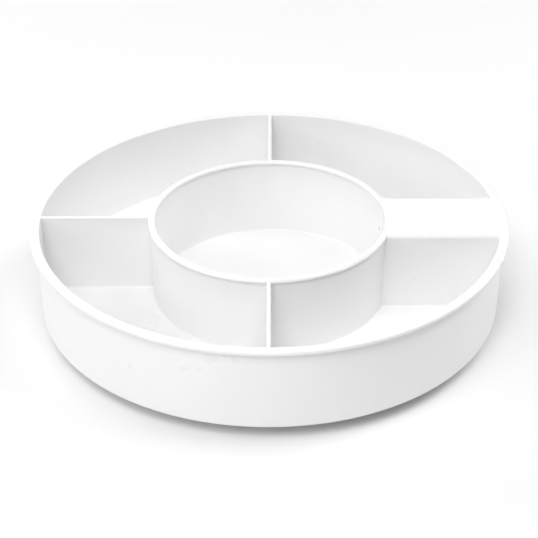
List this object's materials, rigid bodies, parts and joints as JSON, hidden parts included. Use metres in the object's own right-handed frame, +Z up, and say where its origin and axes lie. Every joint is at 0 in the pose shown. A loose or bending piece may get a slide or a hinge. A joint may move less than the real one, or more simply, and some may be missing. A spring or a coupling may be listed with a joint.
{
  "type": "lazy susan turntable",
  "caption": "Round white plastic divided turntable tray on a recessed ball-bearing base, free-standing on rubber feet.",
  "frame": {"origin": "on the axis of rotation, in the plane the feet stand on", "axes": "+Z up along the axis of rotation, +X from the axis through the middle of the wide hollow divider, +Y through a thin divider"},
  "size_m": [0.309, 0.309, 0.0665],
  "materials": {
    "white_plastic": "satin white moulded plastic",
    "base_plastic": "matt white moulded plastic",
    "race_steel": "rolled zinc-plated steel",
    "cage_plastic": "natural acetal",
    "ball_steel": "polished ball steel",
    "bushing_plastic": "natural acetal",
    "zinc_steel": "zinc plated",
    "foot_rubber": "grey non-slip rubber"
  },
  "bodies": {
    "base": {"base": "base_plastic", "lower_race": "race_steel", "hub_bushing": "bushing_plastic", "foot_1": "foot_rubber", "foot_2": "foot_rubber", "foot_3": "foot_rubber", "foot_4": "foot_rubber", "foot_5": "foot_rubber", "foot_6": "foot_rubber", "foot_7": "foot_rubber", "foot_8": "foot_rubber"},
    "tray": {"tray": "white_plastic", "upper_race": "race_steel", "thrust_washer": "bushing_plastic", "pivot_washer": "zinc_steel", "pivot_screw": "zinc_steel"},
    "cage": {"ball_cage": "cage_plastic", "bearing_balls": "ball_steel"}
  },
  "joints": [
    {"name": "tray_spin", "type": "hinge", "parent": "base", "child": "tray", "pos_m": [0, 0, 0.00695], "axis": [0, 0, 1], "continuous": true},
    {"name": "cage_spin", "type": "hinge", "parent": "base", "child": "cage", "pos_m": [0, 0, 0.00695], "axis": [0, 0, 1], "continuous": true}
  ],
  "couplings": [
    {"joint": "cage_spin", "follows": "tray_spin", "ratio": 0.5}
  ]
}
